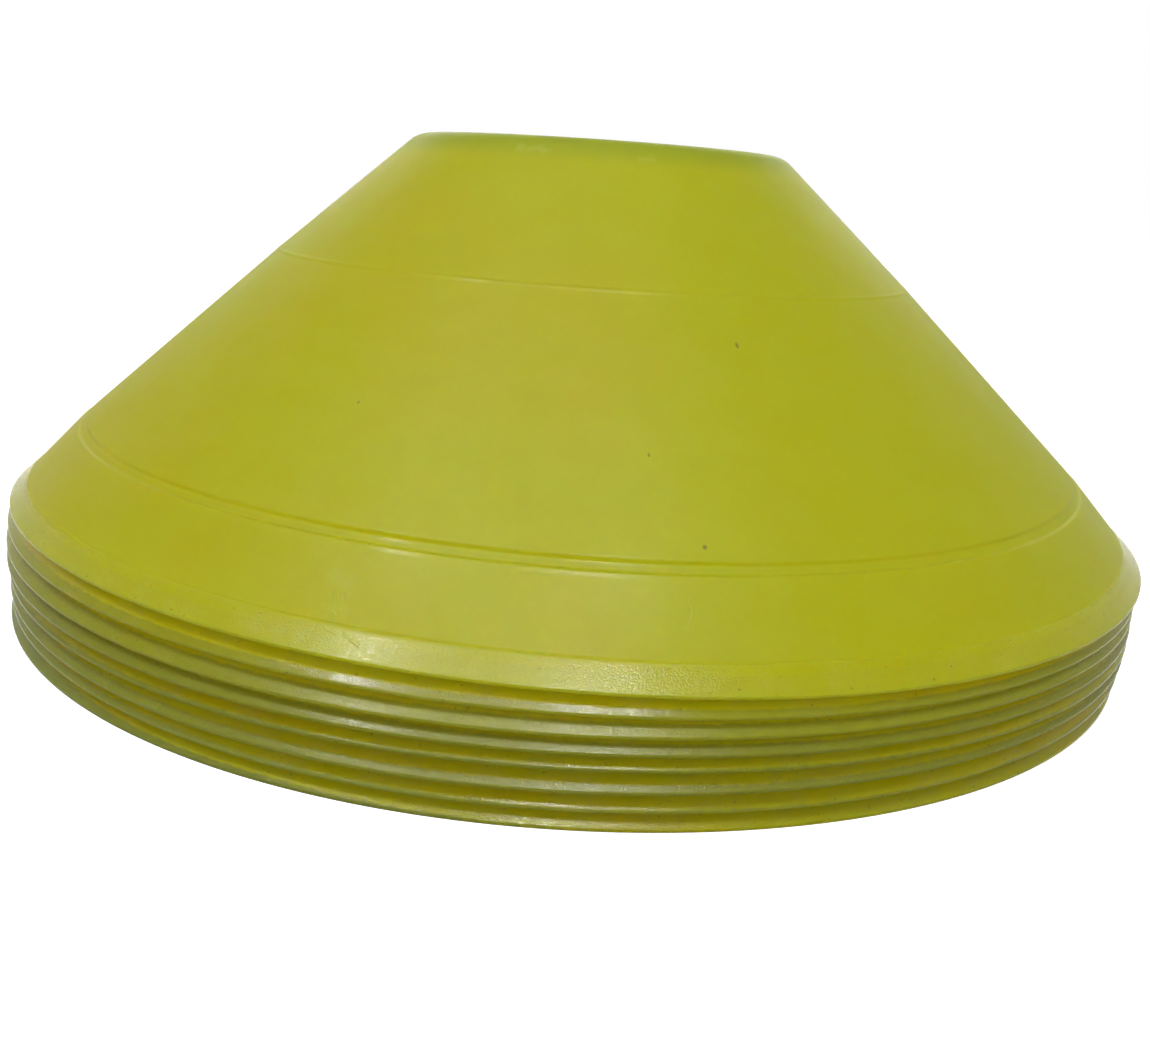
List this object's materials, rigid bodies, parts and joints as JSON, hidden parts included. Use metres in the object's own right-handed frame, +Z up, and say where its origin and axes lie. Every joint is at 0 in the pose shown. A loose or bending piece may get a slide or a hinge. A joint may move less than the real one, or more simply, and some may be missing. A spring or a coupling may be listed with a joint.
{
  "type": "sports marker disc stack",
  "caption": "Nested stack of soft yellow-green saucer-cone field markers, each a thin sloping shell with a round hole on top and a flared lip.",
  "frame": {"origin": "on the ground, in the middle of the stack, in the plane of the lowest lip's foot", "axes": "+Z up along the axis of every disc, towards the hole in the top; +X and +Y are alike, because each disc is round"},
  "size_m": [0.19, 0.19, 0.0765],
  "materials": {
    "disc_plastic": "soft satin, slightly see-through"
  },
  "bodies": {
    "bottom_disc": {"bottom_disc": "disc_plastic"},
    "second_disc": {"second_disc": "disc_plastic"},
    "third_disc": {"third_disc": "disc_plastic"},
    "fourth_disc": {"fourth_disc": "disc_plastic"},
    "fifth_disc": {"fifth_disc": "disc_plastic"},
    "sixth_disc": {"sixth_disc": "disc_plastic"},
    "seventh_disc": {"seventh_disc": "disc_plastic"},
    "top_disc": {"top_disc": "disc_plastic"}
  },
  "joints": [
    {"name": "second_disc_lift", "type": "slide", "parent": "bottom_disc", "child": "second_disc", "axis": [0, 0, 1], "range_m": [0, 0.06]},
    {"name": "third_disc_lift", "type": "slide", "parent": "second_disc", "child": "third_disc", "axis": [0, 0, 1], "range_m": [0, 0.06]},
    {"name": "fourth_disc_lift", "type": "slide", "parent": "third_disc", "child": "fourth_disc", "axis": [0, 0, 1], "range_m": [0, 0.06]},
    {"name": "fifth_disc_lift", "type": "slide", "parent": "fourth_disc", "child": "fifth_disc", "axis": [0, 0, 1], "range_m": [0, 0.06]},
    {"name": "sixth_disc_lift", "type": "slide", "parent": "fifth_disc", "child": "sixth_disc", "axis": [0, 0, 1], "range_m": [0, 0.06]},
    {"name": "seventh_disc_lift", "type": "slide", "parent": "sixth_disc", "child": "seventh_disc", "axis": [0, 0, 1], "range_m": [0, 0.06]},
    {"name": "top_disc_lift", "type": "slide", "parent": "seventh_disc", "child": "top_disc", "axis": [0, 0, 1], "range_m": [0, 0.06]}
  ]
}
